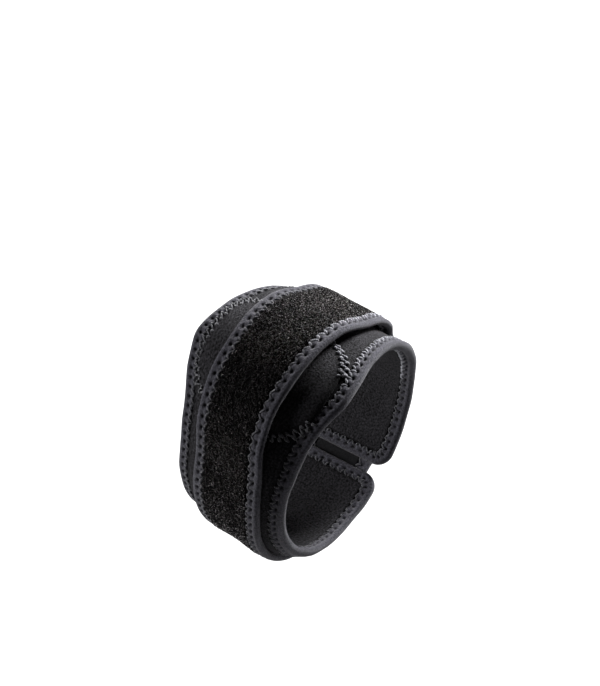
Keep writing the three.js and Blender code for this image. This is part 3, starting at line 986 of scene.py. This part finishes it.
def make_loops(name, low, high, seed):
    """Loops of yarn: each is half an ellipse that stands on the ground, leans over and is turned at
    random."""
    rng = np.random.default_rng(seed)
    run, along = scatter_on_strap(LOOP_COUNT, low, high, rng)
    count = len(run)
    foot = strap.place(run, along, STRAP_THICKNESS - 0.35)
    up = strap.place(run, along, STRAP_THICKNESS + 0.65) - foot
    forward = strap.place(run + 1.0, along, STRAP_THICKNESS - 0.35) - foot
    forward /= np.linalg.norm(forward, axis=1, keepdims=True)
    side = np.cross(up, forward)
    heading = rng.uniform(0, 2 * np.pi, count)[:, None]
    across = forward * np.cos(heading) + side * np.sin(heading)
    lean = (forward * -np.sin(heading) + side * np.cos(heading)) * rng.normal(0, 0.45, (count, 1))
    sweep = np.linspace(0, np.pi, LOOP_STEPS)[None, :, None]
    width = rng.uniform(0.35, 0.62, (count, 1, 1))
    height = rng.uniform(0.55, 1.0, (count, 1, 1))
    arch = across[:, None] * width * -np.cos(sweep)
    rise = (up + lean)[:, None] * height * np.sin(sweep)
    twist = lean[:, None] * 0.5 * np.sin(2 * sweep)
    centres = foot[:, None] + arch + rise + twist
    thickness = rng.uniform(0.13, 0.21, (count, 1)) * np.ones((1, LOOP_STEPS))
    points, quads = tubes(centres, (up + 0.01)[:, None], thickness, 4)
    each = 4 * LOOP_STEPS
    # Each loop is darker towards its feet, which is painted shade among the loops, and has a random tone of
    # its own.
    tip = np.repeat(np.sin(np.linspace(0, np.pi, LOOP_STEPS)) ** 2, 4)
    shade = np.exp(rng.normal(0.0, 0.5, (count, 1))) * (0.1 + 1.1 * tip)
    uv = np.stack([np.repeat(run, each), np.repeat(along, each)], axis=-1)
    return make_piece(name, points, quads, pile, uv, {"loop_tone_and_painted_shade": shade})


cuts = np.linspace(STRAP_OVERLAP - 6, strap.length, 4)
pile_loops = [make_loops(f"pile_loops_{k}", cuts[k], cuts[k + 1], 31 + k) for k in range(3)]

# %% [markdown]
# ## The pad's pocket
#
# The pad sits in a pocket of the same jersey, sewn down round its rim. Blown up like a cushion, cloth that
# is sewn round its rim puckers there by itself, so the pocket's outer face is simulated: a sheet pinned at
# the seam, with a little pressure under it. Afterwards its height is held below the strap.

# %% The pocket's outline and dome
POCKET_GRID = 61


def pocket_spot(across, around_ring):
    """An angle and a place along X, from shares of the pocket's half width and half length. The pocket's
    elbow side leans to the back, and it is a little shorter towards the hand edge."""
    lean = POCKET_LEAN * np.minimum(across, 0) ** 2
    half_length = POCKET_HALF_LENGTH - POCKET_TAPER * np.maximum(across, 0)
    angle = PAD_ANGLE + (around_ring * half_length + lean) / PER_DEGREE
    return angle, POCKET_SHIFT + across * POCKET_HALF_WIDTH


def pocket_place(across, around_ring, level):
    """A point above the band, at shares of the pocket's half width and half length from its middle."""
    angle, along = pocket_spot(across, around_ring)
    return on_ring(angle, along, band_top(angle, along) + level)


def pocket_shares(grid):
    """A square grid bent into the pocket's rounded outline: first into a disc, by shortening each side with
    the other, and then outwards to the curve where the powers of its two shares add up to 1."""
    u, v = np.meshgrid(np.linspace(-1, 1, grid), np.linspace(-1, 1, grid), indexing="ij")
    x, y = u * np.sqrt(1 - v * v / 2), v * np.sqrt(1 - u * u / 2)
    radius = np.hypot(x, y) + 1e-9
    powers = np.abs(x / radius) ** POCKET_SQUARENESS + np.abs(y / radius) ** POCKET_SQUARENESS
    reach = powers ** (-1 / POCKET_SQUARENESS)
    return x * reach, y * reach, np.hypot(x, y)


def pocket_dome(share):
    """The pad's height above the pocket's rim: flat in the middle and steep towards the seam."""
    return PAD_HEIGHT * (1 - share**PAD_FLATNESS)


def pocket_room(across, around_ring):
    """The most that the pocket may stand above the band: what the strap leaves it, or a little more beside
    it."""
    angle, along = pocket_spot(across, around_ring)
    run = (STRAP_START_ANGLE - angle) * PER_DEGREE
    elbow, hand = strap.edges(run)
    beside = np.maximum(elbow - along, along - hand)
    under = strap_seat(run, along) - band_top(angle, along) - 0.25
    return np.where(beside > 0, under + np.minimum(beside * 0.5, 0.8), under)


# %% The pocket as simulated cloth


def inflate(points, pinned):
    """Cloth over the pad: pinned at the seam, slightly too large, and blown up for 20 frames."""
    quads = grid_quads(POCKET_GRID, POCKET_GRID)
    sheet = make_piece("pocket_sheet", points, quads, jersey)
    group = sheet.vertex_groups.new(name="seam")
    group.add([int(i) for i in np.flatnonzero(pinned)], 1.0, "REPLACE")
    cloth = sheet.modifiers.new("cloth", "CLOTH")
    cloth.settings.vertex_group_mass = "seam"
    cloth.settings.use_pressure = True
    cloth.settings.uniform_pressure_force = 3.0
    cloth.settings.shrink_min = -0.035
    cloth.settings.effector_weights.gravity = 0
    cloth.settings.tension_stiffness = 25
    cloth.settings.bending_stiffness = 0.4
    scene = bpy.context.scene
    cloth.point_cache.frame_start, cloth.point_cache.frame_end = 1, 20
    for number in range(1, 21):
        scene.frame_set(number)
    evaluated = sheet.evaluated_get(bpy.context.evaluated_depsgraph_get())
    result = np.zeros(len(points) * 3)
    evaluated.data.vertices.foreach_get("co", result)
    bpy.data.objects.remove(sheet)
    scene.frame_set(1)
    return result.reshape(-1, 3) / MM


def make_pocket():
    """The pocket's outer face from the cloth, an under face on the band, and the seam that joins them."""
    across, around_ring, share = pocket_shares(POCKET_GRID)
    start = pocket_place(across, around_ring, POCKET_SEAT + pocket_dome(share) * 0.85)
    level = POCKET_SEAT + pocket_dome(share)
    blown = inflate(start.reshape(-1, 3), (share > 0.985).ravel()).reshape(start.shape)
    angle = np.degrees(np.arctan2(blown[..., 2], -blown[..., 1]))
    blown_level = np.hypot(blown[..., 1], blown[..., 2]) - band_top(angle, blown[..., 0])
    level = level + np.clip(blown_level - level, -0.9, 0.9)
    level = np.minimum(level, pocket_room(across, around_ring))
    top = pocket_place(across, around_ring, level)
    under = pocket_place(across, around_ring, 0 * level + 0.1)
    count = POCKET_GRID * POCKET_GRID
    faces = grid_quads(POCKET_GRID, POCKET_GRID)
    number = np.arange(count).reshape(POCKET_GRID, POCKET_GRID)
    rim = np.concatenate([number[0, :-1], number[:-1, -1], number[-1, :0:-1], number[:0:-1, 0]])
    beyond = np.roll(rim, -1)
    wall = np.stack([rim, beyond, beyond + count, rim + count], axis=-1)
    quads = np.concatenate([faces[:, ::-1], faces + count, wall])
    points = np.concatenate([top.reshape(-1, 3), under.reshape(-1, 3)])
    flat = np.stack([around_ring * POCKET_HALF_LENGTH, across * POCKET_HALF_WIDTH], axis=-1).reshape(-1, 2)
    # Painted shade in the groove along the pocket's rim, on its hand side only.
    valley = (0.9 * np.exp(-(((share - 1.0) / 0.08) ** 2)) * smoothstep(across, 0, 0.5)).ravel()
    uv, masks = np.concatenate([flat, flat]), {"pit": np.tile(valley, 2)}
    return make_piece("pocket", points, quads, jersey, uv, masks)


pocket = make_pocket()

# %% The pocket's seam
SEAM_PITCH = 3.3
SEAM_OUTER, SEAM_INNER = 1.08, 0.94  # shares of the rim
SEAM_BOW = 0.4
HELD_BY_BINDING = (52, 77)  # degrees, on the hand side


def rim_shares(count):
    """Shares of the pocket's half width and half length at even steps round its rim."""
    turn = np.linspace(0, 2 * np.pi, 721)
    x, y = (np.sign(f(turn)) * np.abs(f(turn)) ** (2 / POCKET_SQUARENESS) for f in (np.sin, np.cos))
    steps = np.hypot(np.diff(x * POCKET_HALF_WIDTH), np.diff(y * POCKET_HALF_LENGTH))
    walked = np.concatenate([[0], np.cumsum(steps)])
    even = np.linspace(0, walked[-1], count, endpoint=False)
    return np.interp(even, walked, x), np.interp(even, walked, y)


def make_pocket_seam():
    """A zigzag round the pocket's rim. Two thick stitches cross the rim and a thin one returns. Beside the
    band's hand edge its own zigzag holds the rim, so the seam stops there."""
    rng = np.random.default_rng(15)
    pitches = round(2 * np.pi * (POCKET_HALF_WIDTH + POCKET_HALF_LENGTH) / 2 * 1.06 / SEAM_PITCH)
    x, y = rim_shares(3 * pitches)
    shares = (SEAM_OUTER, (SEAM_OUTER + SEAM_INNER) / 2, SEAM_INNER)
    levels = (0.3, POCKET_SEAT * 0.75, POCKET_SEAT + pocket_dome(SEAM_INNER))
    outer, middle, inner = (
        pocket_place(x[k::3] * shares[k], y[k::3] * shares[k], levels[k]) for k in range(3)
    )
    up = pocket_place(x[1::3], y[1::3], 2.0) - pocket_place(x[1::3], y[1::3], 1.0)
    up /= np.linalg.norm(up, axis=1, keepdims=True)
    angle, along = pocket_spot(x[1::3], y[1::3])
    free = (along < 0) | (angle < HELD_BY_BINDING[0]) | (angle > HELD_BY_BINDING[1])
    kept = np.concatenate([free, free, free & np.roll(free, -1)])
    starts = np.concatenate([outer, middle, inner])[kept]
    finishes = np.concatenate([middle, inner, np.roll(outer, -1, axis=0)])[kept]
    thickness = np.repeat([0.5, 0.5, 0.28], pitches)[kept] * rng.uniform(0.75, 1.25, kept.sum())
    print("legs of the pocket's seam:", len(starts))
    ups = np.concatenate([up] * 3)[kept]
    return make_legs("pocket_zigzag", starts, finishes, ups, rng, SEAM_BOW, thickness)


pocket_zigzag = make_pocket_seam()

# %% [markdown]
# ## The hook patch
#
# The free end carries a patch of hook tape that grips the loops of the sewn end. It is hidden once the
# strap is closed, so it is a plain patch with a ribbed face.

# %% The hook patch
HOOK_LENGTH = 30.0
HOOK_MARGIN = 2.5


def make_hook_patch():
    """A flat patch under the free end, ribbed across by a sine."""
    inset = TAPE_LEG + HOOK_MARGIN
    run = np.linspace(strap.length - inset - HOOK_LENGTH, strap.length - inset, 90)[:, None]
    left, right = strap.inset_edges(run, inset)
    along = left + (right - left) * np.linspace(0, 1, 24)[None, :]
    run = np.broadcast_to(run, along.shape)
    rib = 0.12 * np.sin(run * 2 * np.pi / 1.2)
    high = strap.place(run, along, -0.35)
    low = strap.place(run, along, -0.35 - HOOK_THICKNESS + rib)
    points = np.concatenate([high, low[:, ::-1]], axis=1)
    quads = shell_quads(*points.shape[:2])
    both = np.concatenate([along, along[:, ::-1]], axis=1)
    uv = np.stack([np.broadcast_to(run[:, :1], both.shape), both], axis=-1)
    return make_piece("hook_face", points, quads, hook_tape, uv, {"loop_tone_and_painted_shade": np.ones(both.shape)})


hook_face = make_hook_patch()

# %% [markdown]
# ## What each piece stands for
#
# Every piece rides on the one body, and some replace a fixed piece. The size that each strip was cut to is
# worked out from its pattern and printed.

# %% Riding, replacing and the cut sizes
REPLACED = (
    (band_core, "band", "jersey"),
    (band_tape, "band_binding", "tape"),
    (strap_core, "strap_backing", "jersey"),
    (strap_tape, "strap_binding", "tape"),
    (pile_ground, "loop_facing", "pile"),
    (pocket, "pad_pocket", "jersey"),
    (hook_face, "hook_patch", "hook"),
)
ADDED = (
    (band_zigzag, "tape"),
    (band_zigzag_inside, "tape"),
    (strap_zigzag, "tape"),
    (strap_zigzag_inside, "tape"),
    (pocket_zigzag, "tape"),
    *((loops, "pile") for loops in pile_loops),
)
for piece, node, slot in REPLACED:
    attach(piece, "root")
    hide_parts(node)
for piece, slot in ADDED:
    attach(piece, "root")


def flat_size(strip):
    """The width, length and area of the strip's flat cut, in metres."""
    run = np.linspace(0, strip.length, 400)
    elbow, hand = strip.edges(run)
    line = strip.place(run, (elbow + hand) / 2, strip.thickness / 2)
    steps = np.linalg.norm(np.diff(line, axis=0), axis=1)
    width = (hand - elbow).max()
    area = (((hand - elbow)[1:] + (hand - elbow)[:-1]) / 2 * steps).sum()
    return float(width * MM), float(steps.sum() * MM), float(area * MM * MM)


width, length, area = flat_size(band)
print("band cut from", round(width * 1000), "by", round(length * 1000), "mm")
width, length, area = flat_size(strap)
print("strap cut from", round(width * 1000), "by", round(length * 1000), "mm")

# %% [markdown]
# ## Camera, floor and light
#
# The camera stands a metre away, at the photograph's azimuth and elevation. It is aimed a little above the
# strap, so that the strap lies where it lies in the photograph's frame. The main light is soft and comes
# from behind, with a weaker one from the left, over a pale floor.

# %% Camera
AZIMUTH, ELEVATION = math.radians(36), math.radians(44)
DISTANCE = 1.0
SCALE = 2.2  # pixels per millimetre at the origin
FRAME_CENTRE = (300, 343)
ORIGIN_PIXEL = (299, 422)
FRAME_LONG_SIDE = 686


def make_camera():
    """A camera that looks so that the origin falls on its pixel in the photograph's frame."""
    data = bpy.data.cameras.new("camera")
    data.sensor_width = 36
    data.lens = 36 * SCALE / MM * DISTANCE / FRAME_LONG_SIDE
    camera = bpy.data.objects.new("camera", data)
    bpy.context.scene.collection.objects.link(camera)
    right = Vector((math.cos(AZIMUTH), math.sin(AZIMUTH), 0))
    away = Vector((math.sin(AZIMUTH), -math.cos(AZIMUTH), 0))
    back = away * math.cos(ELEVATION) + Vector((0, 0, math.sin(ELEVATION)))
    up = back.cross(right)
    dx, dy = (ORIGIN_PIXEL[k] - FRAME_CENTRE[k] for k in (0, 1))
    target = (right * -dx + up * dy) / SCALE * MM
    camera.location = back * DISTANCE
    camera.rotation_euler = (target - camera.location).to_track_quat("-Z", "Y").to_euler()
    data.clip_start, data.clip_end = 0.05, 30
    bpy.context.scene.camera = camera
    return camera


camera = make_camera()
print("lens", round(camera.data.lens, 1), "mm")

# %% Floor and light
FLOOR_LEVEL = -0.16
FLOOR_HALF_SIZE = 12.0


def make_floor():
    """A pale floor, wide enough to fill every view."""
    mesh = bpy.data.meshes.new("floor")
    signs = ((-1, -1), (1, -1), (1, 1), (-1, 1))
    corners = [(x * FLOOR_HALF_SIZE, y * FLOOR_HALF_SIZE, FLOOR_LEVEL) for x, y in signs]
    mesh.from_pydata(corners, [], [(0, 1, 2, 3)])
    floor = bpy.data.objects.new("floor", mesh)
    bpy.context.scene.collection.objects.link(floor)
    material = bpy.data.materials.new("floor")
    material.use_nodes = True
    shader = material.node_tree.nodes["Principled BSDF"]
    shader.inputs["Base Color"].default_value = (0.4, 0.4, 0.4, 1)
    shader.inputs["Roughness"].default_value = 0.9
    mesh.materials.append(material)


def add_softbox(name, place, size, power):
    """A square soft light that looks at the origin."""
    data = bpy.data.lights.new(name, "AREA")
    data.shape, data.size, data.energy = "SQUARE", size, power
    light = bpy.data.objects.new(name, data)
    bpy.context.scene.collection.objects.link(light)
    light.location = place
    light.rotation_euler = (-Vector(place)).to_track_quat("-Z", "Y").to_euler()


make_floor()
add_softbox("back", (0.1, 1.25, 0.55), 0.5, 108)
add_softbox("left", (-1.2, -0.6, 0.5), 0.45, 31)

world = bpy.data.worlds.new("studio")
world.use_nodes = True
world.node_tree.nodes["Background"].inputs[0].default_value = (1, 1, 1, 1)
world.node_tree.nodes["Background"].inputs[1].default_value = 0.03
scene = bpy.context.scene
scene.world = world
scene.view_settings.view_transform = "Standard"
